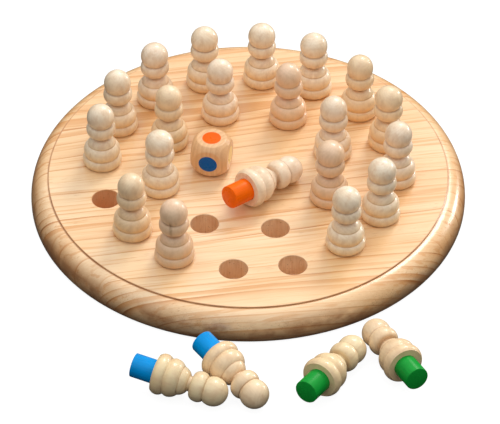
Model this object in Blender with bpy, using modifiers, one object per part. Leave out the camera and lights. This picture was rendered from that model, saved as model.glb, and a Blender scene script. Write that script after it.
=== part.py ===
"""Wooden memory peg game: a round board with two rings of blind holes, turned pawns that each
carry a coloured peg under the foot, and one colour die. Units are metres, +Z is up, and the
origin is the centre of the board's underside. Row axis +X points at the first hole of both rings.
"""

import math

import bmesh
import bpy
from mathutils import Matrix

MM = 0.001

# Board
BOARD_RADIUS = 145 * MM
BOARD_THICKNESS = 20 * MM
SHOULDER_RADIUS = 133 * MM  # where the flat top ends in a small step
SHOULDER_STEP = 1 * MM
ROUND_OVER_DROP = 15 * MM  # height of the elliptical round-over below the step
FOOT_ROUND = 2.5 * MM  # rounding of the lower edge
BOARD_SEGMENTS = 72

# Holes
HOLE_RADIUS = 9.3 * MM
HOLE_DEPTH = 16.5 * MM
OUTER_RING_RADIUS = 97.8 * MM
INNER_RING_RADIUS = 60.5 * MM
HOLE_SEGMENTS = 16

# Pawn: corners of its outside, (radius, height) from the foot up to where the head begins
BASE_TOP = 7.4 * MM
FOOT_EDGE = 12.0 * MM
PAWN_CORNERS = (
    (13.0 * MM, 1.9 * MM),  # base
    (13.0 * MM, 5.5 * MM),
    (11.4 * MM, BASE_TOP),
    (12.2 * MM, 9.5 * MM),  # domed band
    (11.5 * MM, 13.2 * MM),
    (9.0 * MM, 16.5 * MM),
    (7.7 * MM, 18.9 * MM),  # cone
    (4.9 * MM, 21.8 * MM),
    (4.9 * MM, 23.6 * MM),  # neck
    (7.9 * MM, 24.2 * MM),  # bowl-shaped collar
    (9.7 * MM, 27.8 * MM),
    (9.2 * MM, 31.2 * MM),
    (7.8 * MM, 32.8 * MM),
)
HEAD_CENTRE, HEAD_RADIUS = 37.8 * MM, 9.3 * MM
TURNED_SEGMENTS = 12

# Peg glued into the pawn's foot
PEG_RADIUS = 7.6 * MM
PEG_LENGTH = 15 * MM  # below the foot
SOCKET_DEPTH = 10 * MM
GAP = 0.3 * MM  # glue line, and clearance between pieces that touch

# Die
DIE_EDGE = 25 * MM
DIE_ROUNDING = 15.9 * MM  # radius of the sphere that rounds the cube's corners
DIE_PLACE = (-22 * MM, 10.5 * MM)
DIE_TURN = math.radians(-29)

# A hole is wider than a peg, so a pawn may stand against a side of it, on one of these headings
LEFT, RIGHT, BACK = (math.radians(heading) for heading in (163, 9, 45))
OFF_CENTRE = 1.2 * MM

# What stands in each hole, counted anticlockwise from +X: the peg's colour and the side of the
# hole that the pawn stands against, or None for a pawn in the middle. None is an empty hole
OUTER_SEATS = (
    ("red", None), ("yellow", None), ("violet", LEFT), ("orange", None),
    ("green", LEFT), ("red", LEFT), ("blue", LEFT), ("yellow", None),
    None, ("violet", BACK), ("orange", LEFT), None,
    None, ("green", BACK), ("red", None), ("yellow", RIGHT),
)
INNER_SEATS = (
    ("violet", LEFT), ("orange", LEFT), ("blue", LEFT), ("red", BACK),
    ("yellow", None), None, None, ("violet", None),
)

# Pawns lying down: colour, foot centre, heading of the head in degrees, what they lie on
LYING = (
    ("orange", (-11.5 * MM, -33.5 * MM), 24.8, "board"),
    ("blue", (-108.5 * MM, -160.5 * MM), -36.4, "table"),
    ("blue", (-68.7 * MM, -157.3 * MM), -68.4, "table"),
    ("green", (-14.4 * MM, -196.3 * MM), 38.9, "table"),
    ("green", (40.4 * MM, -200.2 * MM), 99.2, "table"),
)

PAINTS = {
    "red": (0.62, 0.03, 0.02),
    "orange": (1.0, 0.14, 0.01),
    "yellow": (0.92, 0.60, 0.04),
    "green": (0.02, 0.30, 0.04),
    "blue": (0.0, 0.24, 0.75),
    "violet": (0.17, 0.04, 0.33),
}


def clear_scene():
    for old in list(bpy.data.objects):
        bpy.data.objects.remove(old, do_unlink=True)


def new_collection(name, hidden=False):
    group = bpy.data.collections.new(name)
    bpy.context.scene.collection.children.link(group)
    group.hide_render = hidden
    return group


def material(name, colour, roughness):
    finish = bpy.data.materials.new(name)
    finish.use_nodes = True
    shader = finish.node_tree.nodes["Principled BSDF"]
    shader.inputs["Base Color"].default_value = (*colour, 1)
    shader.inputs["Roughness"].default_value = roughness
    shader.inputs["Metallic"].default_value = 0
    return finish


def profile_mesh(name, points):
    """An open outline of (radius, height) points that a Screw modifier turns about Z."""
    ends = range(len(points) - 1)
    mesh = bpy.data.meshes.new(name)
    mesh.from_pydata([(r, 0, z) for r, z in points], [(i, i + 1) for i in ends], [])
    return mesh


def turned(name, mesh, segments, finish, group):
    piece = bpy.data.objects.new(name, mesh)
    group.objects.link(piece)
    spin = piece.modifiers.new("turn", "SCREW")
    spin.angle = 2 * math.pi
    spin.steps = spin.render_steps = segments
    spin.use_merge_vertices = True
    spin.merge_threshold = 0.00001
    spin.use_smooth_shade = True
    if not mesh.materials:
        mesh.materials.append(finish)
    return piece


def arc(centre, radii, start, stop, steps):
    """Points (radius, height) on an ellipse, angles in degrees from the +radius direction."""
    angles = [math.radians(start + (stop - start) * i / steps) for i in range(steps + 1)]
    return [(centre[0] + radii[0] * math.cos(a), centre[1] + radii[1] * math.sin(a)) for a in angles]


def pawn_outline():
    """Outside of the pawn from the top of the head down to the edge of the foot."""
    head_end = math.degrees(math.asin((PAWN_CORNERS[-1][1] - HEAD_CENTRE) / HEAD_RADIUS))
    head = arc((0, HEAD_CENTRE), (HEAD_RADIUS, HEAD_RADIUS), 90, head_end, 4)
    head[0] = (0, HEAD_CENTRE + HEAD_RADIUS)
    return head[:-1] + list(reversed(PAWN_CORNERS)) + [(FOOT_EDGE, 0)]


def pawn_profile():
    socket = PEG_RADIUS + GAP
    return pawn_outline() + [(socket, 0), (socket, SOCKET_DEPTH), (0, SOCKET_DEPTH)]


def peg_profile():
    top = SOCKET_DEPTH - GAP
    return [(0, top), (PEG_RADIUS, top), (PEG_RADIUS, -PEG_LENGTH), (0, -PEG_LENGTH)]


def lying_attitude():
    """Lean of a lying pawn's axis, and the axis's height at the foot, as it rests on ring and head."""
    outline = pawn_outline()
    base = [point for point in outline if point[1] <= BASE_TOP]

    def reach(lean):
        return max(r * math.cos(lean) + z * math.sin(lean) for r, z in base)

    low, high = 0.0, math.radians(20)
    for _ in range(40):
        lean = (low + high) / 2
        if reach(lean) > HEAD_RADIUS + HEAD_CENTRE * math.sin(lean):
            low = lean
        else:
            high = lean
    return lean, reach(lean)


def board_profile():
    top, edge = BOARD_THICKNESS, BOARD_RADIUS
    step = top - SHOULDER_STEP
    low = step - ROUND_OVER_DROP
    over = arc((SHOULDER_RADIUS, low), (edge - SHOULDER_RADIUS, ROUND_OVER_DROP), 90, 0, 6)
    under = arc((edge - FOOT_ROUND, FOOT_ROUND), (FOOT_ROUND, FOOT_ROUND), 0, -90, 3)
    over[0] = (SHOULDER_RADIUS, step)
    under[-1] = (edge - FOOT_ROUND, 0)
    return [(0, top), (SHOULDER_RADIUS, top)] + over + under[1:] + [(0, 0)]


def hole_places():
    """Centres of the holes of both rings, each with what stands in it."""
    for seats, radius in ((OUTER_SEATS, OUTER_RING_RADIUS), (INNER_SEATS, INNER_RING_RADIUS)):
        for i, seat in enumerate(seats):
            turn = 2 * math.pi * i / len(seats)
            yield radius * math.cos(turn), radius * math.sin(turn), seat


def hole_cutter(group):
    """One cylinder for each blind hole, standing proud of the top so that each cut is clean."""
    proud = 5 * MM
    depth = HOLE_DEPTH + proud
    middle = BOARD_THICKNESS + proud - depth / 2
    shape = bmesh.new()
    for x, y, _ in hole_places():
        bmesh.ops.create_cone(
            shape, cap_ends=True, segments=HOLE_SEGMENTS, radius1=HOLE_RADIUS,
            radius2=HOLE_RADIUS, depth=depth, matrix=Matrix.Translation((x, y, middle)),
        )
    mesh = bpy.data.meshes.new("hole_cutter")
    shape.to_mesh(mesh)
    shape.free()
    cutter = bpy.data.objects.new("hole_cutter", mesh)
    group.objects.link(cutter)
    return cutter


def hide(cutter):
    cutter.hide_render = True
    cutter.display_type = "WIRE"


def boolean(piece, cutter, operation):
    cut = piece.modifiers.new(cutter.name, "BOOLEAN")
    cut.operation = operation
    cut.solver = "EXACT"
    cut.object = cutter
    hide(cutter)


def make_board(parts, cutters):
    pine = material("pine", (0.86, 0.62, 0.36), 0.4)
    board = turned("board", profile_mesh("board", board_profile()), BOARD_SEGMENTS, pine, parts)
    boolean(board, hole_cutter(cutters), "DIFFERENCE")


def make_die(parts, cutters):
    shape = bmesh.new()
    bmesh.ops.create_cube(shape, size=DIE_EDGE)
    mesh = bpy.data.meshes.new("die")
    shape.to_mesh(mesh)
    shape.clear()
    bmesh.ops.create_uvsphere(shape, u_segments=20, v_segments=12, radius=DIE_ROUNDING)
    ball_mesh = bpy.data.meshes.new("die_rounding")
    shape.to_mesh(ball_mesh)
    shape.free()
    mesh.materials.append(material("die_wood", (0.72, 0.42, 0.18), 0.45))
    die = bpy.data.objects.new("die", mesh)
    ball = bpy.data.objects.new("die_rounding", ball_mesh)
    parts.objects.link(die)
    cutters.objects.link(ball)
    boolean(die, ball, "INTERSECT")
    die.location = (*DIE_PLACE, BOARD_THICKNESS + GAP + DIE_EDGE / 2)
    die.rotation_euler = (0, 0, DIE_TURN)
    ball.location = die.location
    ball.rotation_euler = die.rotation_euler


def pawn_poses():
    """Colour, foot centre and rotation of every pawn: the standing ones, then those lying down."""
    for x, y, seat in hole_places():
        if seat:
            colour, side = seat
            if side is not None:
                x += OFF_CENTRE * math.cos(side)
                y += OFF_CENTRE * math.sin(side)
            yield colour, (x, y, BOARD_THICKNESS + GAP), (0, 0, 0)
    lean, height = lying_attitude()
    floors = {"board": BOARD_THICKNESS, "table": 0}
    for colour, (x, y), heading, floor in LYING:
        turn = (0, math.pi / 2 + lean, math.radians(heading))
        yield colour, (x, y, floors[floor] + GAP + height), turn


def make_pawns(parts):
    wood = material("turned_wood", (0.80, 0.64, 0.44), 0.4)
    pawn_mesh = profile_mesh("pawn", pawn_profile())
    paints = {name: material(name + "_paint", colour, 0.3) for name, colour in PAINTS.items()}
    peg_meshes = {name: profile_mesh("peg_" + name, peg_profile()) for name in PAINTS}
    made = dict.fromkeys(PAINTS, 0)
    for colour, place, turn in pawn_poses():
        made[colour] += 1
        label = f"{colour}_{made[colour]}"
        pawn = turned("pawn_" + label, pawn_mesh, TURNED_SEGMENTS, wood, parts)
        pawn.location = place
        pawn.rotation_euler = turn
        peg = turned("peg_" + label, peg_meshes[colour], TURNED_SEGMENTS, paints[colour], parts)
        peg.parent = pawn


def main():
    clear_scene()
    parts = new_collection("memory_peg_game")
    cutters = new_collection("cutters", hidden=True)
    make_board(parts, cutters)
    make_die(parts, cutters)
    make_pawns(parts)


main()
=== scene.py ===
"""Looks of the wooden memory peg game: varnished pine board, lacquered turned pawns with painted
pegs, and the colour die. Everything is in metres in the row frame, and every place is read from
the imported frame. Colours are written as sRGB 0 to 255, the way a paint chart gives them.
"""

import math
import random

import bmesh
import bpy
import numpy as np
from mathutils import Matrix, Vector


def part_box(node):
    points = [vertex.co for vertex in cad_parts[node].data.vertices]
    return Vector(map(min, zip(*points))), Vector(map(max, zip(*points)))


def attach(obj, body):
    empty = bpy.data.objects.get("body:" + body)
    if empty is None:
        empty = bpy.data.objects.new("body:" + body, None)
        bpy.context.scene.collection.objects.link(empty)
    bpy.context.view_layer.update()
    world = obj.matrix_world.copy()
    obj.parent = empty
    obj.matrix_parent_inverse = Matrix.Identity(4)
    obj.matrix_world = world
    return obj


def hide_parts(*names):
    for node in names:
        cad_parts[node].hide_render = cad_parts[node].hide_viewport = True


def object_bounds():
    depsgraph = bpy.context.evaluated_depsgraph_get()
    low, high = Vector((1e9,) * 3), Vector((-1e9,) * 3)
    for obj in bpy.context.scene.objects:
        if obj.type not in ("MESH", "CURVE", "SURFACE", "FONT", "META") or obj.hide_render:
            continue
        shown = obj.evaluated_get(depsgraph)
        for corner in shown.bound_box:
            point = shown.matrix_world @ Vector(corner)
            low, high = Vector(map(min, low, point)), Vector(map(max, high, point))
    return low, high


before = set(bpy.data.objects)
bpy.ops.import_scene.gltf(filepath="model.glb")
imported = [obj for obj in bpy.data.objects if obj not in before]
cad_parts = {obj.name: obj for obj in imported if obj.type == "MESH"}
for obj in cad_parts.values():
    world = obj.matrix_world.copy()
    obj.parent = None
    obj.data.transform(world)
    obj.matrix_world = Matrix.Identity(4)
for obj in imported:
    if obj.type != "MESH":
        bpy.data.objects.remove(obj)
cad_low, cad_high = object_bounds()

MM = 0.001
rng = random.Random(24)

# Camera: a long lens that looks down at the board's near half
CAMERA_TURN = math.radians(-17.03)
CAMERA_RISE = math.radians(41.04)
CAMERA_DISTANCE = 1.7889
CAMERA_AIM = Vector((-11.1, -40.4, 20.0)) * MM
CAMERA_LENS, CAMERA_SENSOR = 196.8, 36.0

# Board
SHOULDER_RADIUS = 133 * MM  # edge of the flat top
SHOULDER_STEP = 1 * MM
ROUND_OVER_DROP = 15 * MM
FOOT_ROUND = 2.5 * MM
BOARD_SEGMENTS = 240
HOLE_RADIUS, HOLE_DEPTH, HOLE_EASE = 9.3 * MM, 16.5 * MM, 0.3 * MM
HOLE_SEGMENTS = 56
HOLE_RINGS = ((97.8 * MM, 16), (60.5 * MM, 8))  # radius and number of holes, the first at +X
GRAIN_TURN = math.radians(-7)  # the way the pine's fibres run, from +X

# Pawn: its outside as elliptical arcs from the foot up, in mm and degrees:
# (centre radius, centre height, half width, half height, first angle, last angle, steps)
PAWN_ARCS = (
    (10.9, 3.6, 2.15, 3.5, -62, 0, 6),  # base, below and above its widest
    (10.4, 3.6, 2.65, 4.0, 0, 69, 9),
    (9.6, 10.4, 2.6, 3.1, -38, 0, 5),  # domed band
    (5.8, 10.4, 6.4, 7.1, 0, 59, 14),
    (3.2, 14.6, 6.2, 7.5, 15, 74, 10),  # cone, up to the neck
    (6.4, 28.6, 3.3, 4.9, -90, 0, 10),  # bowl-shaped collar
    (6.4, 28.6, 3.3, 4.7, 0, 63, 8),
)
NECK_RADIUS, NECK_TOP = 4.9 * MM, 23.6 * MM
HEAD_CENTRE, HEAD_RADIUS, HEAD_BASE = 37.8 * MM, 9.3 * MM, 32.9 * MM
PEG_RADIUS, PEG_BELOW, PEG_INSIDE = 7.6 * MM, 15 * MM, 9.7 * MM
SOCKET_RADIUS = 7.7 * MM
PAWN_SEGMENTS = 56
GROOVE_SHADES = ((7.6, 0.3), (16.6, 0.25), (22.9, 1.2), (32.7, 0.35))  # painted shade in the turned grooves: height and reach in mm
SLIM_HEADS = {  # share of the full width, for heads that were turned slimmer
    "orange_3": 0.94, "red_4": 0.95, "violet_2": 0.95, "yellow_1": 0.95, "orange_2": 0.965,
    "blue_1": 0.97, "blue_2": 0.97, "violet_3": 0.97, "yellow_2": 0.975, "yellow_3": 0.97,
}

# Die
DIE_ROUNDING = 15.9 * MM
DIE_GRID = 64  # squares along one edge
DIE_CRISPNESS = 160.0  # higher makes the edge of each flat sharper
DIE_FRONT = CAMERA_TURN - math.radians(102)  # the way its blue face looks
DOT_RADIUS, DOT_THICKNESS = 6.3 * MM, 0.07 * MM
DOT_SEGMENTS = 48
DOTS = {  # which way each dot faces, in the die's own frame
    "orange": (0, 0, 1),
    "blue": (0, -1, 0),
    "yellow": (1, 0, 0),
    "red": (0, 1, 0),
    "green": (-1, 0, 0),
    "violet": (0, 0, -1),
}

PAINTS = {  # the pegs
    "red": (190, 20, 14),
    "orange": (255, 108, 0),
    "yellow": (246, 196, 50),
    "green": (20, 158, 56),
    "blue": (0, 150, 228),
    "violet": (92, 40, 142),
}
INKS = {  # the die's dots
    **PAINTS,
    "blue": (0, 94, 176),
    "orange": (255, 98, 0),
    "yellow": (246, 208, 120),
}

# Studio
SKY = ((0.0, 0.02), (0.3, 0.14), (0.6, 0.50), (1.0, 1.0))  # sine of the elevation, brightness
SKY_STRENGTH = 1.58
LIGHT_DISTANCE = 5.2
LIGHT_COLOUR = (1.0, 0.98, 0.95)
SOFTBOXES = (  # name, turn past CAMERA_TURN and rise in degrees, width in metres, watts
    ("key", 62, 48, 1.6, 108),
    ("side", 35, 11, 1.2, 70),
)
FLOOR_HALF = 6.0
FLOOR_LEVEL = -0.3 * MM  # just clear of the board's underside
FLOOR_GREY, FLOOR_GLOW = 0.15, 0.92


def linear(colour):
    """sRGB 0 to 255 as the linear RGBA that sockets hold."""
    parts = [c / 255 for c in colour]
    light = (p / 12.92 if p <= 0.04045 else ((p + 0.055) / 1.055) ** 2.4 for p in parts)
    return (*light, 1.0)


# ---------------------------------------------------------------- materials


class Graph:
    """A material's node tree. Most methods add nodes and return the socket of their result."""

    def __init__(self, name):
        self.material = bpy.data.materials.new(name)
        self.material.use_nodes = True
        self.tree = self.material.node_tree
        self.shader = self.tree.nodes["Principled BSDF"]

    def node(self, kind, inputs, out=0, **settings):
        made = self.tree.nodes.new("ShaderNode" + kind)
        for key, value in settings.items():
            setattr(made, key, value)
        for socket, value in inputs.items():
            self.plug(made.inputs[socket], value)
        return made.outputs[out]

    def plug(self, socket, value):
        if isinstance(value, bpy.types.NodeSocket):
            self.tree.links.new(value, socket)
        else:
            socket.default_value = value

    def finish(self, **sockets):
        """Fills the surface shader's sockets and returns the material."""
        for name, value in sockets.items():
            self.plug(self.shader.inputs[name.replace("_", " ")], value)
        return self.material

    def math(self, operation, a, b=0.0, clamp=False):
        return self.node("Math", {0: a, 1: b}, operation=operation, use_clamp=clamp)

    def product(self, a, b, clamp=False):
        return self.math("MULTIPLY", a, b, clamp)

    def length(self, x, y):
        """Distance from the origin in a plane."""
        squares = self.math("ADD", self.product(x, x), self.product(y, y))
        return self.math("SQRT", squares)

    def axes(self, vector):
        """The vector's three parts."""
        return self.node("SeparateXYZ", {0: vector}).node.outputs

    def times(self, vector, factors):
        return self.node("VectorMath", {0: vector, 1: factors}, operation="MULTIPLY")

    def add(self, a, b):
        return self.node("VectorMath", {0: a, 1: b}, operation="ADD")

    def noise(self, vector, detail=3.0, roughness=0.5, out="Fac"):
        sockets = {"Vector": vector, "Scale": 1.0, "Detail": detail, "Roughness": roughness}
        return self.node("TexNoise", sockets, out)

    def sway(self, moved, place, scales, reach, detail):
        """moved, shifted by up to about half of reach either way by noise over place."""
        shift = self.noise(self.times(place, scales), detail=detail, out="Color")
        return self.add(moved, self.times(self.add(shift, (-0.5, -0.5, -0.5)), reach))

    def fibres(self, place, scales):
        """Fine noise, drawn out along the direction that has the smallest scale."""
        return self.noise(self.times(place, scales), detail=3.0, roughness=0.6)

    def ramp(self, value, stops, interpolation="LINEAR"):
        """stops is a list of (place, linear RGBA or grey)."""
        made = self.tree.nodes.new("ShaderNodeValToRGB")
        made.color_ramp.interpolation = interpolation
        points = made.color_ramp.elements
        for i, (place, colour) in enumerate(stops):
            point = points[i] if i < 2 else points.new(place)
            point.position = place
            grey = isinstance(colour, (int, float))
            point.color = (colour, colour, colour, 1) if grey else colour
        self.plug(made.inputs[0], value)
        return made.outputs[0]

    def mix(self, share, a, b, blend="MIX"):
        sockets = {0: share, 6: a, 7: b}
        return self.node("Mix", sockets, 2, data_type="RGBA", blend_type=blend)

    def span(self, value, low, high, new_low=0.0, new_high=1.0):
        """value from low to high becomes new_low to new_high, held at the ends."""
        sockets = {0: value, 1: low, 2: high, 3: new_low, 4: new_high}
        return self.node("MapRange", sockets, clamp=True)

    def bump(self, height, strength, distance):
        sockets = {"Height": height, "Strength": strength, "Distance": distance}
        return self.node("Bump", sockets)


# Staves, from the near edge of the board to the far one: share of the width where each begins,
# then how far aside and how deep its pith lies, how warm it is, and how wide its rings are,
# all from 0 to 1
STAVES = (
    (0.00, 0.02, 0.42, 0.00, 0.38),
    (0.19, 0.74, 0.70, 0.05, 0.95),
    (0.37, 0.16, 0.45, 0.10, 0.62),
    (0.53, 0.84, 0.60, 0.60, 0.50),
    (0.72, 0.40, 0.55, 0.85, 0.42),
    (0.87, 0.55, 0.40, 1.00, 0.30),
)
PITH_SPREAD, PITH_DEPTH = 340 * MM, 60 * MM  # what 0 to 1 stands for in aside and in depth
PITH_TILT = 0.06  # rise of the rings along the board
RING_NARROW, RING_WIDE = 2.4 * MM, 8.5 * MM
PINE_PALE, PINE_PEACH = (249, 221, 180), (240, 201, 150)  # early wood
PINE_LATE, PINE_DARK = (218, 152, 82), (184, 114, 54)  # late wood, and its boldest lines


def stave_values(g, grain):
    """Aside, depth, warmth and ring width of the stave that a point lies in."""
    across = g.node("SeparateXYZ", {0: grain}, 1)
    half = (cad_high.x - cad_low.x) / 2
    share = g.span(across, -half, half)
    table = g.ramp(share, [(start, values) for start, *values in STAVES], "CONSTANT")
    aside, depth, warmth = g.node("SeparateColor", {0: table}).node.outputs
    return aside, depth, warmth, table.node.outputs["Alpha"]


def growth_rings(g, wood, aside, depth, ring_width):
    """Number of the ring round the stave's pith, and the share of its year that has grown."""
    along, across, up = g.axes(wood)
    pith_across = g.product(g.math("SUBTRACT", aside, 0.5), PITH_SPREAD)
    pith_up = g.product(depth, -PITH_DEPTH)
    off_across = g.math("SUBTRACT", across, pith_across)
    off_up = g.math("ADD", g.math("SUBTRACT", up, pith_up), g.product(along, PITH_TILT))
    spacing = g.span(ring_width, 0, 1, RING_NARROW, RING_WIDE)
    rings = g.math("DIVIDE", g.length(off_across, off_up), spacing)
    sockets = {"W": g.product(rings, 0.6), "Detail": 1.0, "Scale": 1.0}
    uneven = g.node("TexNoise", sockets, noise_dimensions="1D")
    rings = g.math("ADD", rings, g.product(uneven, 1.2))
    return g.math("FLOOR", rings), g.math("FRACT", rings)


def pine_colour(g, grain, wood):
    """Sawn pine with its growth rings as surfaces in space, so that they wrap over the rim.
    Also gives how strongly a late-wood line shows, and the fibres."""
    aside, depth, warmth, ring_width = stave_values(g, grain)
    ring, year = growth_rings(g, wood, aside, depth, ring_width)
    growth = [(0.0, 0.35), (0.03, 0.0), (0.5, 0.04), (0.8, 0.28), (0.93, 0.9), (1.0, 1.0)]
    late_wood = g.ramp(year, growth)
    luck = g.node("TexWhiteNoise", {"W": ring}, noise_dimensions="1D")
    fade = g.noise(g.times(wood, (9, 60, 60)), detail=2.0)
    bold = g.product(g.span(luck, 0, 0.8, 0.3, 1.0), g.span(fade, 0.3, 0.65, 0.4, 1.0))
    line = g.product(late_wood, bold)

    cloud = g.noise(g.times(grain, (9, 30, 30)), detail=3.0)
    body = g.mix(g.span(cloud, 0.35, 0.65), linear(PINE_PALE), linear(PINE_PEACH))
    body = g.mix(g.product(warmth, 0.8), body, linear(PINE_PEACH))
    # some years are darker all through
    broad = g.node("TexWhiteNoise", {"W": g.math("ADD", ring, 0.37)}, noise_dimensions="1D")
    broad = g.product(g.span(broad, 0.62, 0.9, 0, 0.6), g.span(year, 0.05, 0.4))
    body = g.mix(broad, body, linear(PINE_LATE))
    body = g.mix(g.product(line, 0.95, clamp=True), body, linear(PINE_LATE))
    body = g.mix(g.product(g.span(line, 0.5, 1.0), 0.6), body, linear(PINE_DARK))

    fibre = g.fibres(grain, (45, 1500, 1500))
    body = g.mix(g.span(fibre, 0.35, 0.7, 0.0, 0.2), body, linear(PINE_LATE), "MULTIPLY")
    thread = g.noise(g.times(wood, (11, 330, 330)), detail=2.0)
    body = g.mix(g.span(thread, 0.57, 0.66, 0.0, 0.5), body, linear(PINE_LATE))
    fleck = g.noise(g.times(grain, (110, 1500, 1500)), detail=1.0)
    fleck_zone = g.noise(g.times(grain, (14, 70, 70)), detail=1.0)
    flecks = g.product(g.span(fleck, 0.66, 0.73), g.span(fleck_zone, 0.5, 0.62))
    return g.mix(g.product(flecks, 0.6), body, linear(PINE_DARK)), line, fibre


def rim_wear_and_painted_shade(g, place, line, body):
    """The rounded rim is browner than the top, most of all on its left and near side and towards its
    foot: partly soil and open pores, partly painted shade where less light falls.
    """
    right, back, up = g.axes(place)
    normal = g.node("NewGeometry", {}, "Normal")
    rim = g.span(g.node("SeparateXYZ", {0: normal}, 2), 0.92, 0.35)
    # end grain drinks more varnish
    fibre_way = (math.cos(GRAIN_TURN), math.sin(GRAIN_TURN), 0)
    facing = g.node("VectorMath", {0: normal, 1: fibre_way}, "Value", operation="DOT_PRODUCT")
    end_grain = g.product(facing, facing)
    body = g.mix(g.product(end_grain, 0.6), body, linear((240, 194, 138)), "MULTIPLY")
    # browner rings, soiled patches and open pores, heaviest on the left and near side; there, and
    # down the rim, this is also painted shade away from the lights
    worn_and_shaded = g.span(g.math("ADD", right, g.product(back, 0.5)), 70 * MM, -60 * MM, 0.45, 1.0)
    rim_worn_and_shaded = g.product(rim, worn_and_shaded)
    broken = g.noise(g.times(place, (26, 26, 50)), detail=2.0)
    edge_line = g.product(g.span(line, 0.3, 0.85), g.span(broken, 0.38, 0.62, 0.15, 0.85))
    body = g.mix(g.product(edge_line, rim_worn_and_shaded), body, linear((148, 90, 44)))
    # soiled patches, heavier down the rim, where they also stand for painted shade
    soil_and_shade = g.noise(g.times(place, (34, 34, 60)), detail=4.0, roughness=0.6)
    soil_and_shade = g.product(g.span(soil_and_shade, 0.44, 0.6, 0.0, 0.8), g.product(rim_worn_and_shaded, rim))
    body = g.mix(soil_and_shade, body, linear((164, 108, 66)))
    # painted shade: the near rim darkens towards its foot, where little light reaches
    low = g.product(g.span(up, 12 * MM, 1 * MM), g.span(back, -20 * MM, -110 * MM, 0.6, 0.92))
    body = g.mix(low, body, linear((104, 69, 42)))
    pores = g.node("TexVoronoi", {"Vector": place, "Scale": 800.0}, "Distance")
    pore_zone = g.noise(g.times(place, (45, 45, 45)), detail=1.0)
    pore = g.product(g.span(pores, 0.10, 0.26, 1.0, 0.0), g.span(pore_zone, 0.45, 0.6))
    return g.mix(g.product(g.product(pore, rim_worn_and_shaded), 0.7), body, linear((130, 74, 48)))


def step_foot_line(g, place, body):
    """A patchy brown line along the foot of the step round the top."""
    right, back = g.axes(place)[:2]
    off_line = g.math("SUBTRACT", g.length(right, back), SHOULDER_RADIUS + 0.15 * MM)
    step_line_share = g.span(g.math("ABSOLUTE", off_line), 0.35 * MM, 0.9 * MM, 0.85, 0.0)
    patchy = g.noise(g.times(place, (60, 60, 60)), detail=2.0)
    step_line_share = g.product(step_line_share, g.span(patchy, 0.3, 0.65, 0.6, 1.0))
    return g.mix(step_line_share, body, linear((186, 124, 72)))


def board_material():
    """Varnished pine, glued up from staves."""
    g = Graph("pine")
    place = g.node("TexCoord", {}, "Object")
    sockets = {"Vector": place, "Angle": -GRAIN_TURN}
    grain = g.node("VectorRotate", sockets, rotation_type="Z_AXIS")
    wood = g.sway(grain, grain, (6, 12, 12), (0, 9 * MM, 9 * MM), 2.0)
    wood = g.sway(wood, grain, (26, 40, 40), (0, 1.2 * MM, 1.2 * MM), 1.0)
    body, line, fibre = pine_colour(g, grain, wood)
    body = rim_wear_and_painted_shade(g, place, line, body)
    body = step_foot_line(g, place, body)
    relief = g.math("ADD", g.product(line, 0.5), g.product(fibre, 0.35))
    gloss = g.noise(g.times(grain, (25, 120, 120)), detail=2.0)
    return g.finish(
        Base_Color=body,
        Roughness=g.span(gloss, 0.3, 0.7, 0.30, 0.44),
        Coat_Weight=0.75,
        Coat_Roughness=0.2,
        Normal=g.bump(relief, 0.25, 0.12 * MM),
    )


def hole_material():
    """Drilled wall: the same pine, rougher and browner, with fine upright strokes from the drill."""
    g = Graph("pine_drilled")
    place = g.node("TexCoord", {}, "Object")
    cloud = g.noise(g.times(place, (110, 110, 60)), detail=3.0)
    body = g.mix(g.span(cloud, 0.35, 0.65), linear((240, 208, 170)), linear((228, 186, 142)))
    stroke = g.fibres(place, (1300, 1300, 90))
    body = g.mix(g.span(stroke, 0.45, 0.72, 0.0, 0.5), body, linear((206, 152, 110)))
    # the holes furthest to the left are browner
    right = g.node("SeparateXYZ", {0: place}, 0)
    body = g.mix(g.span(right, -60 * MM, -85 * MM, 0.0, 0.5), body, linear((214, 146, 84)))
    speck = g.noise(g.times(place, (900, 900, 900)), detail=1.0)
    body = g.mix(g.span(speck, 0.68, 0.76, 0.0, 0.6), body, linear((120, 70, 40)))
    relief = g.math("ADD", stroke, g.product(cloud, 0.5))
    return g.finish(
        Base_Color=body,
        Roughness=g.span(cloud, 0.3, 0.7, 0.5, 0.7),
        Normal=g.bump(relief, 0.3, 0.15 * MM),
    )


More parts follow.
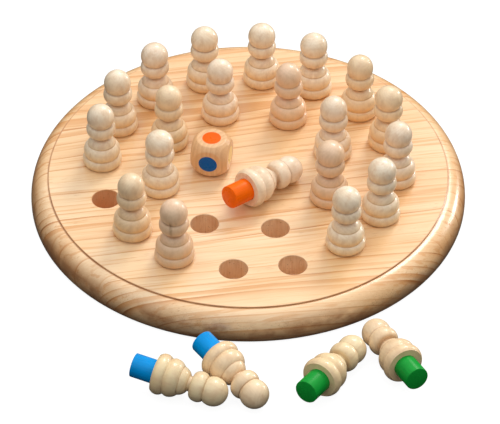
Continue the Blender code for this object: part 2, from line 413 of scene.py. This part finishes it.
def turned_wood():
    """Close-grained pale wood. Each pawn carries its own grain, its tone with painted bounce light,
    painted shade in its grooves, and its streaks.
    """
    g = Graph("turned_wood")
    place = g.node("Attribute", {}, "Vector", attribute_name="grain")
    tone = g.node("Attribute", {}, "Color", attribute_name="tone")
    streak = g.node("Attribute", {}, "Fac", attribute_name="streak")
    groove_shade = g.node("Attribute", {}, "Fac", attribute_name="groove_shade")
    x, y = g.axes(g.sway(place, place, (60, 60, 12), (3 * MM, 3 * MM, 0), 1.0))[:2]
    rings = g.math("DIVIDE", g.length(x, y), 1.5 * MM)
    band = g.ramp(g.math("FRACT", rings), [(0.0, 0.2), (0.25, 0.0), (0.85, 1.0), (1.0, 0.3)])
    zone = g.noise(g.times(place, (90, 90, 14)), detail=2.0)
    body = g.mix(g.span(zone, 0.35, 0.65, 0.0, 0.45), tone, linear((232, 202, 162)))
    body = g.mix(g.product(band, 0.16), body, linear((212, 178, 142)))
    fibre = g.fibres(place, (800, 800, 70))
    body = g.mix(g.span(fibre, 0.45, 0.75, 0.0, 0.2), body, linear((204, 166, 126)))
    cloud = g.noise(g.times(place, (240, 240, 160)), detail=3.0)
    body = g.mix(g.span(cloud, 0.48, 0.68, 0.0, 0.4), body, linear((218, 178, 136)))
    fine = g.product(streak, g.span(fibre, 0.25, 0.55, 0.4, 1.0))
    body = g.mix(g.product(fine, 0.8), body, linear((140, 96, 62)))
    # painted shade in the turned grooves, patchy with the wood's zones
    groove_shade_share = g.product(groove_shade, g.span(zone, 0.3, 0.7, 0.35, 0.6))
    body = g.mix(groove_shade_share, body, linear((164, 112, 64)))
    turning = g.noise(g.times(place, (60, 60, 2400)), detail=2.0)
    relief = g.math("ADD", g.product(fibre, 0.4), g.product(turning, 0.3))
    gloss = g.noise(g.times(place, (160, 160, 80)), detail=2.0)
    return g.finish(
        Base_Color=body,
        Roughness=g.span(gloss, 0.3, 0.7, 0.34, 0.48),
        Coat_Weight=0.4,
        Coat_Roughness=0.12,
        Normal=g.bump(relief, 0.15, 0.1 * MM),
    )


def paint_material(name, colour):
    """Lacquer brushed over a turned dowel: the fibres still show through it."""
    g = Graph(name)
    place = g.node("Attribute", {}, "Vector", attribute_name="grain")
    fibre = g.fibres(place, (900, 900, 50))
    cloud = g.noise(g.times(place, (200, 200, 120)), detail=2.0)
    shade = tuple(0.66 * c for c in linear(colour)[:3]) + (1.0,)
    body = g.mix(g.span(cloud, 0.35, 0.65, 0.0, 0.3), linear(colour), shade)
    body = g.mix(g.span(fibre, 0.48, 0.7, 0.0, 0.4), body, shade)
    relief = g.math("ADD", fibre, g.product(cloud, 0.5))
    return g.finish(
        Base_Color=body,
        Roughness=g.span(cloud, 0.3, 0.7, 0.24, 0.36),
        Specular_IOR_Level=0.15,
        Normal=g.bump(relief, 0.25, 0.12 * MM),
    )


def die_material():
    """Unbleached wood with wide growth rings, upright in the die."""
    g = Graph("die_wood")
    place = g.node("Attribute", {}, "Vector", attribute_name="grain")
    x, y = g.axes(g.sway(place, place, (60, 60, 18), (6 * MM, 6 * MM, 0), 2.0))[:2]
    # the tree's pith lies outside the die, off one of its upright edges
    off_pith = g.length(g.math("SUBTRACT", x, 26 * MM), g.math("ADD", y, 14 * MM))
    year = g.math("FRACT", g.math("DIVIDE", off_pith, 3.4 * MM))
    band = g.ramp(year, [(0.0, 0.5), (0.2, 0.0), (0.8, 0.8), (0.92, 1.0), (1.0, 0.8)])
    body = g.mix(g.product(band, 0.3), linear((230, 184, 134)), linear((188, 126, 74)))
    fibre = g.fibres(place, (1100, 1100, 60))
    body = g.mix(g.span(fibre, 0.45, 0.75, 0.0, 0.25), body, linear((184, 122, 70)))
    relief = g.math("ADD", g.product(fibre, 0.6), g.product(band, 0.3))
    gloss = g.noise(g.times(place, (160, 160, 80)), detail=2.0)
    return g.finish(
        Base_Color=body,
        Roughness=g.span(gloss, 0.3, 0.7, 0.36, 0.50),
        Coat_Weight=0.2,
        Coat_Roughness=0.2,
        Normal=g.bump(relief, 0.25, 0.12 * MM),
    )


# ---------------------------------------------------------------- mesh work


def arc(centre, radii, start, stop, steps):
    """Points (radius, height) on an ellipse, angles in degrees from the +radius direction."""
    angles = [math.radians(start + (stop - start) * i / steps) for i in range(steps + 1)]
    return [(centre[0] + radii[0] * math.cos(a), centre[1] + radii[1] * math.sin(a)) for a in angles]


def lathe(name, outline, segments):
    """Turned mesh from an outline of (radius, height) that runs down its outer side. An end of
    the outline that lies on the axis closes there in one point."""
    shape = bmesh.new()
    turns = [2 * math.pi * i / segments for i in range(segments)]
    rings = []
    for radius, height in outline:
        if radius == 0:
            rings.append([shape.verts.new((0, 0, height))] * segments)
        else:
            ring = [(radius * math.cos(t), radius * math.sin(t), height) for t in turns]
            rings.append([shape.verts.new(point) for point in ring])
    for upper, lower in zip(rings, rings[1:]):
        for i in range(segments):
            j = (i + 1) % segments
            # a face that reaches the axis meets one point twice, so it keeps three corners
            shape.faces.new(dict.fromkeys((upper[i], lower[i], lower[j], upper[j])))
    mesh = bpy.data.meshes.new(name)
    shape.to_mesh(mesh)
    shape.free()
    return mesh


def smooth(mesh, sharp_degrees):
    """Smooth shading, apart from edges that turn more than this."""
    mesh.shade_smooth()
    mesh.set_sharp_from_angle(angle=math.radians(sharp_degrees))


def piece_from(mesh, body, node_name):
    """A visual piece that rides on a body. It stands for the CAD node, where one is named."""
    piece = bpy.data.objects.new(mesh.name, mesh)
    bpy.context.scene.collection.objects.link(piece)
    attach(piece, body)
    if node_name:
        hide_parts(node_name)


FIELDS = {"FLOAT": "value", "FLOAT_VECTOR": "vector", "FLOAT_COLOR": "color"}


def store(mesh, name, kind, values):
    """Keeps values at the mesh's points, as an attribute that its material reads."""
    layer = mesh.attributes.new(name, kind, "POINT")
    layer.data.foreach_set(FIELDS[kind], np.asarray(values, np.float32).ravel())


def coordinates(mesh):
    """The mesh's points, one row each."""
    points = np.zeros(len(mesh.vertices) * 3, np.float32)
    mesh.vertices.foreach_get("co", points)
    return points.reshape(-1, 3).astype(float)


# ---------------------------------------------------------------- board


def hole_centres():
    """Where the holes are, seen from above."""
    for radius, count in HOLE_RINGS:
        for i in range(count):
            turn = 2 * math.pi * i / count
            yield radius * math.cos(turn), radius * math.sin(turn)


def board_outline(edge, top):
    """From the edge of the flat top down to the edge of the flat underside."""
    low = top - SHOULDER_STEP - ROUND_OVER_DROP
    ease = 0.2 * MM
    crown = [(SHOULDER_RADIUS - ease, top), (SHOULDER_RADIUS, top - ease)]
    over = arc((SHOULDER_RADIUS, low), (edge - SHOULDER_RADIUS, ROUND_OVER_DROP), 90, 0, 20)
    under = arc((edge - FOOT_ROUND, FOOT_ROUND), (FOOT_ROUND, FOOT_ROUND), 0, -90, 8)
    return crown + over + under[1:]


def board_blank(edge, top):
    """The disc without its holes."""
    disc = lathe("board_blank", board_outline(edge, top), BOARD_SEGMENTS)
    shape = bmesh.new()
    shape.from_mesh(disc)
    rims = [e for e in shape.edges if e.is_boundary]
    bmesh.ops.holes_fill(shape, edges=rims, sides=BOARD_SEGMENTS)
    bmesh.ops.recalc_face_normals(shape, faces=shape.faces)
    shape.to_mesh(disc)
    shape.free()
    disc.materials.append(board_material())
    return disc


def drills(top):
    """One mesh with a drill in every hole. Each widens at the top, to ease the hole's edge."""
    proud, tip_ease = 2 * MM, 0.4 * MM
    tip = top - HOLE_DEPTH
    shaft = [
        (0, top + proud),
        (HOLE_RADIUS + HOLE_EASE + proud, top + proud),
        (HOLE_RADIUS, top - HOLE_EASE),
        (HOLE_RADIUS, tip + tip_ease),
        (HOLE_RADIUS - tip_ease, tip),
        (0, tip),
    ]
    one = lathe("drill", shaft, HOLE_SEGMENTS)
    shape = bmesh.new()
    for x, y in hole_centres():
        placed = one.copy()
        placed.transform(Matrix.Translation((x, y, 0)))
        shape.from_mesh(placed)
    mesh = bpy.data.meshes.new("drills")
    shape.to_mesh(mesh)
    shape.free()
    mesh.materials.append(hole_material())
    return mesh


def board_piece():
    low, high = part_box("board")
    board = bpy.data.objects.new("board_blank", board_blank(high.x, high.z))
    cutter = bpy.data.objects.new("drills", drills(high.z))
    for o in (board, cutter):
        bpy.context.scene.collection.objects.link(o)
    cut = board.modifiers.new("drills", "BOOLEAN")
    cut.object = cutter
    cut.solver = "EXACT"
    cut.material_mode = "TRANSFER"
    bpy.context.view_layer.update()
    solved = board.evaluated_get(bpy.context.evaluated_depsgraph_get())
    finished = bpy.data.meshes.new_from_object(solved)
    finished.name = "pine_board"
    bpy.data.objects.remove(board)
    bpy.data.objects.remove(cutter)
    smooth(finished, 35)
    piece_from(finished, "board", "board")


# ---------------------------------------------------------------- pawns


def pawn_outline():
    """From the crown down to the foot, then into the socket."""
    outside = []
    for across, up, wide, tall, start, stop, steps in PAWN_ARCS:
        if outside and up * MM > NECK_TOP > outside[-1][1]:
            outside.append((NECK_RADIUS, NECK_TOP))
        outside += arc((across * MM, up * MM), (wide * MM, tall * MM), start, stop, steps)
    head_start = math.degrees(math.asin((outside[-1][1] - HEAD_CENTRE) / HEAD_RADIUS))
    outside += arc((0, HEAD_CENTRE), (HEAD_RADIUS, HEAD_RADIUS), head_start, 90, 24)[:-1]
    outside.append((0, HEAD_CENTRE + HEAD_RADIUS))
    distinct = [p for p, q in zip(outside, outside[1:]) if math.dist(p, q) > 0.02 * MM]
    ease = 0.3 * MM
    foot = outside[0][0]
    roof = PEG_INSIDE + ease
    socket = [(foot - ease, 0), (SOCKET_RADIUS, 0), (SOCKET_RADIUS, roof), (0, roof)]
    return [outside[-1]] + distinct[::-1] + socket


def peg_outline():
    """From the end inside the pawn down to the free end, which has a softened edge."""
    ease = 0.45 * MM
    low = -PEG_BELOW
    return [
        (0, PEG_INSIDE),
        (PEG_RADIUS, PEG_INSIDE),
        (PEG_RADIUS, low + ease),
        (PEG_RADIUS - 0.3 * ease, low + 0.3 * ease),
        (PEG_RADIUS - ease, low),
        (0, low),
    ]


def surface_centre(node):
    """Centre of a CAD node's surface, weighted by area. A turned piece has it on its axis."""
    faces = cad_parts[node].data.polygons
    total = sum(f.area for f in faces)
    return sum((f.center * f.area for f in faces), Vector()) / total


def pawn_matrix(label):
    """Takes a pawn's own frame, foot at the origin and +Z up its axis, to where the CAD has it."""
    peg, pawn = surface_centre("peg_" + label), surface_centre("pawn_" + label)
    axis = (pawn - peg).normalized()
    foot = peg + axis * (PEG_BELOW - PEG_INSIDE) / 2
    turn = Vector((0, 0, 1)).rotation_difference(axis)
    return Matrix.Translation(foot) @ turn.to_matrix().to_4x4()


TONES = {
    "pale": (253, 238, 214),
    "warm": (248, 222, 184),
    "pink": (254, 235, 212),
    "olive": (240, 222, 180),
    "tan": (244, 208, 176),
}
LYING = ("orange_4", "blue_3", "blue_4", "green_3", "green_4")  # these lie on their sides, so they get less of the painted bounce light
PAWN_TONES = {
    "orange_2": "tan",
    "orange_3": "tan",
    "violet_4": "tan",
    "yellow_1": "warm",
    "red_1": "warm",
    "orange_4": "pink",
    "blue_3": "olive",
    "blue_4": "warm",
    "green_3": "olive",
    "green_4": "warm",
}
OTHER_TONES = ("pale", "pale", "pink", "warm")  # drawn from for every other pawn
BOUNCE_TINT = (0.98, 0.80, 0.53)  # painted bounce light: what the board's warm reflected light leaves of the tone's red, green and blue
# Dark streaks on one pawn's front, in mm: how far aside, half width, lowest and highest point
STREAKED = "orange_2"
STREAKS = ((-1.9, 0.6, 25, 39), (1.8, 0.5, 34, 38))


def pawn_tones_and_bounce(label, points, up_facing):
    """Base colour at each point: a named tone with painted bounce light, warmer low down and where a
    bead turns under, where light reflected from the board would fall."""
    tone = TONES[PAWN_TONES.get(label) or rng.choice(OTHER_TONES)]
    pale = np.array(linear(tone)[:3]) * rng.uniform(0.97, 1.03)
    # painted bounce light: a warm glow from the board on the low parts and on the undersides of beads
    warm = pale * BOUNCE_TINT
    low = np.clip(1.3 - points[:, 2] / (34 * MM), 0.25, 1)
    depth = 0.4 if label in LYING else 1
    share = (depth * low * np.clip(0.85 - 0.8 * up_facing, 0, 1))[:, None]
    tones = np.ones((len(points), 4))
    tones[:, :3] = pale * (1 - share) + warm * share
    return tones


def groove_shade_at(points):
    """Painted shade at each point, from 0 to 1: how deep in a turned groove it lies."""
    height = points[:, 2] / MM
    return np.max([np.exp(-(((height - at) / reach) ** 2)) for at, reach in GROOVE_SHADES], axis=0)


def streaks(label, points):
    """Where a pawn has dark heartwood streaks, from 0 to 1 at each point."""
    amount = np.zeros(len(points))
    if label == STREAKED:
        toward = CAMERA_TURN - math.pi / 2
        side = points[:, 1] * math.cos(toward) - points[:, 0] * math.sin(toward)
        front = points[:, 0] * math.cos(toward) + points[:, 1] * math.sin(toward)
        height = points[:, 2]
        for off, wide, low, high in STREAKS:
            stripe = np.exp(-(((side - off * MM) / (wide * MM)) ** 2))
            begins = np.clip((height - low * MM) / (2 * MM), 0, 1)
            ends = np.clip((high * MM - height) / (5 * MM), 0, 1)
            amount += stripe * begins * ends * (front > 0)
    return np.clip(amount, 0, 1)


def pawn_pieces(label, wood, paint):
    """A pawn and its peg, in the pawn's own frame and then put where the CAD has it."""
    place = pawn_matrix(label)
    spin = Matrix.Rotation(rng.uniform(0, 2 * math.pi), 4, "Z")
    apart = np.array([rng.uniform(-0.004, 0.004), rng.uniform(-0.004, 0.004), rng.uniform(0, 3)])
    for kind, outline, slot, material in (
        ("pawn", pawn_outline(), "turned_wood", wood),
        ("peg", peg_outline(), label.split("_")[0] + "_paint", paint),
    ):
        mesh = lathe(f"turned_{kind}_{label}", outline, PAWN_SEGMENTS)
        own = coordinates(mesh)
        if kind == "pawn":
            head = own[:, 2] > HEAD_BASE
            own[head, :2] *= SLIM_HEADS.get(label, 1)
            mesh.vertices.foreach_set("co", own.astype(np.float32).ravel())
        store(mesh, "grain", "FLOAT_VECTOR", own @ np.array(spin.to_3x3()).T + apart)
        if kind == "pawn":
            facing = np.array([n.vector.z for n in mesh.vertex_normals])
            # the tone holds the painted bounce light as well
            store(mesh, "tone", "FLOAT_COLOR", pawn_tones_and_bounce(label, own, facing))
            store(mesh, "groove_shade", "FLOAT", groove_shade_at(own))
            store(mesh, "streak", "FLOAT", streaks(label, own))
        mesh.transform(place)
        smooth(mesh, 50)
        mesh.materials.append(material)
        piece_from(mesh, "pawn_" + label, f"{kind}_{label}")


# ---------------------------------------------------------------- die


def die_heading(centre, half):
    """Turn of the die about Z, from one of the CAD die's flat side faces. Each quarter turn looks
    alike there, so the one that brings the blue face nearest to DIE_FRONT is taken."""
    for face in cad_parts["die"].data.polygons:
        level = abs(face.normal.z) < 0.01
        if level and abs(face.normal.dot(face.center - centre) - half) < 0.01 * MM:
            turn = math.atan2(face.normal.y, face.normal.x)
            quarter = math.pi / 2
            return turn + quarter * round((DIE_FRONT - turn) / quarter) + quarter


def rounded_die(half):
    """A cube cut by a sphere, with a slight round where they meet."""
    shape = bmesh.new()
    bmesh.ops.create_cube(shape, size=2)
    bmesh.ops.subdivide_edges(shape, edges=shape.edges, cuts=DIE_GRID - 1, use_grid_fill=True)
    for v in shape.verts:
        way = Vector([math.tan(c * math.pi / 4) for c in v.co]).normalized()
        flat = half / max(abs(c) for c in way)
        both = flat ** -DIE_CRISPNESS + DIE_ROUNDING ** -DIE_CRISPNESS
        v.co = way * both ** (-1 / DIE_CRISPNESS)
    mesh = bpy.data.meshes.new("rounded_die")
    shape.to_mesh(mesh)
    shape.free()
    return mesh


def die_dot(colour):
    """A thin painted disc with a soft edge, facing +Z."""
    edge = 0.3 * MM
    dome = [
        (0, DOT_THICKNESS),
        (DOT_RADIUS - edge, DOT_THICKNESS),
        (DOT_RADIUS - edge / 3, DOT_THICKNESS * 0.7),
        (DOT_RADIUS, 0),
        (DOT_RADIUS, -DOT_THICKNESS),
        (0, -DOT_THICKNESS),
    ]
    return lathe("die_dot_" + colour, dome, DOT_SEGMENTS)


def die_pieces(inks):
    low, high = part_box("die")
    centre = (low + high) / 2
    half = (high.z - low.z) / 2
    place = Matrix.Translation(centre) @ Matrix.Rotation(die_heading(centre, half), 4, "Z")
    mesh = rounded_die(half)
    store(mesh, "grain", "FLOAT_VECTOR", coordinates(mesh))
    mesh.transform(place)
    mesh.shade_smooth()
    mesh.materials.append(die_material())
    piece_from(mesh, "die", "die")
    for colour, way in DOTS.items():
        dot = die_dot(colour)
        apart = np.array([rng.uniform(0, 1), 0, 0])
        store(dot, "grain", "FLOAT_VECTOR", coordinates(dot) + apart)
        onto = Vector((0, 0, 1)).rotation_difference(Vector(way)).to_matrix().to_4x4()
        sunk = Matrix.Translation(Vector(way) * (half - DOT_THICKNESS * 0.6))
        dot.transform(place @ sunk @ onto)
        smooth(dot, 50)
        dot.materials.append(inks[colour])
        piece_from(dot, "die", None)


# ---------------------------------------------------------------- studio


def camera():
    """Looks at CAMERA_AIM from its distance, turned about +Z from the board's front."""
    lens = bpy.data.cameras.new("camera")
    lens.lens = CAMERA_LENS
    lens.sensor_width = CAMERA_SENSOR
    lens.clip_end = 20
    eye = bpy.data.objects.new("camera", lens)
    flat = math.cos(CAMERA_RISE)
    right, back = math.sin(CAMERA_TURN) * flat, -math.cos(CAMERA_TURN) * flat
    way = Vector((right, back, math.sin(CAMERA_RISE)))
    eye.location = CAMERA_AIM + way * CAMERA_DISTANCE
    eye.rotation_euler = (-way).to_track_quat("-Z", "Y").to_euler()
    bpy.context.scene.collection.objects.link(eye)
    bpy.context.scene.camera = eye


def softbox(name, turn, rise, width, watts):
    """A square area light that faces the board."""
    light = bpy.data.lights.new(name, "AREA")
    light.shape = "SQUARE"
    light.size = width
    light.energy = watts
    light.color = LIGHT_COLOUR
    lamp = bpy.data.objects.new(name, light)
    flat = math.cos(rise)
    way = Vector((math.cos(turn) * flat, math.sin(turn) * flat, math.sin(rise)))
    lamp.location = way * LIGHT_DISTANCE
    lamp.rotation_euler = (-way).to_track_quat("-Z", "Y").to_euler()
    bpy.context.scene.collection.objects.link(lamp)


def sky():
    """A world that is brightest overhead and nearly dark at the horizon."""
    world = bpy.data.worlds.new("studio")
    world.use_nodes = True
    tree = world.node_tree
    place = tree.nodes.new("ShaderNodeTexCoord")
    axes = tree.nodes.new("ShaderNodeSeparateXYZ")
    ramp = tree.nodes.new("ShaderNodeValToRGB")
    background = tree.nodes["Background"]
    tree.links.new(place.outputs["Generated"], axes.inputs[0])
    tree.links.new(axes.outputs[2], ramp.inputs[0])
    tree.links.new(ramp.outputs[0], background.inputs[0])
    background.inputs[1].default_value = SKY_STRENGTH
    points = ramp.color_ramp.elements
    for extra in SKY[2:]:
        points.new(extra[0])
    for point, (height, glow) in zip(points, SKY):
        point.position = height
        point.color = (glow, glow, glow, 1)
    bpy.context.scene.world = world


def floor():
    """A plain floor that is white by its own glow all round the board, and that casts no light
    or shade on it."""
    half, level = FLOOR_HALF, FLOOR_LEVEL
    corners = [(-half, -half, level), (half, -half, level), (half, half, level), (-half, half, level)]
    mesh = bpy.data.meshes.new("floor")
    mesh.from_pydata(corners, [], [(0, 1, 2, 3)])
    g = Graph("floor")
    mesh.materials.append(g.finish(
        Base_Color=(FLOOR_GREY, FLOOR_GREY, FLOOR_GREY, 1),
        Roughness=0.9,
        Emission_Color=(1, 1, 1, 1),
        Emission_Strength=FLOOR_GLOW,
    ))
    ground = bpy.data.objects.new("floor", mesh)
    bpy.context.scene.collection.objects.link(ground)
    ground.visible_diffuse = False
    ground.visible_glossy = False
    ground.visible_shadow = False


camera()
sky()
for name, turn, rise, width, watts in SOFTBOXES:
    softbox(name, CAMERA_TURN + math.radians(turn), math.radians(rise), width, watts)
bpy.context.scene.view_settings.view_transform = "Standard"
floor()
board_piece()
wood = turned_wood()
paints = {name: paint_material(name + "_paint", colour) for name, colour in PAINTS.items()}
for node in sorted(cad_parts):
    if node.startswith("pawn_"):
        label = node.removeprefix("pawn_")
        pawn_pieces(label, wood, paints[label.split("_")[0]])
inks = {name: paint_material(name + "_ink", colour) for name, colour in INKS.items()}
die_pieces(inks)
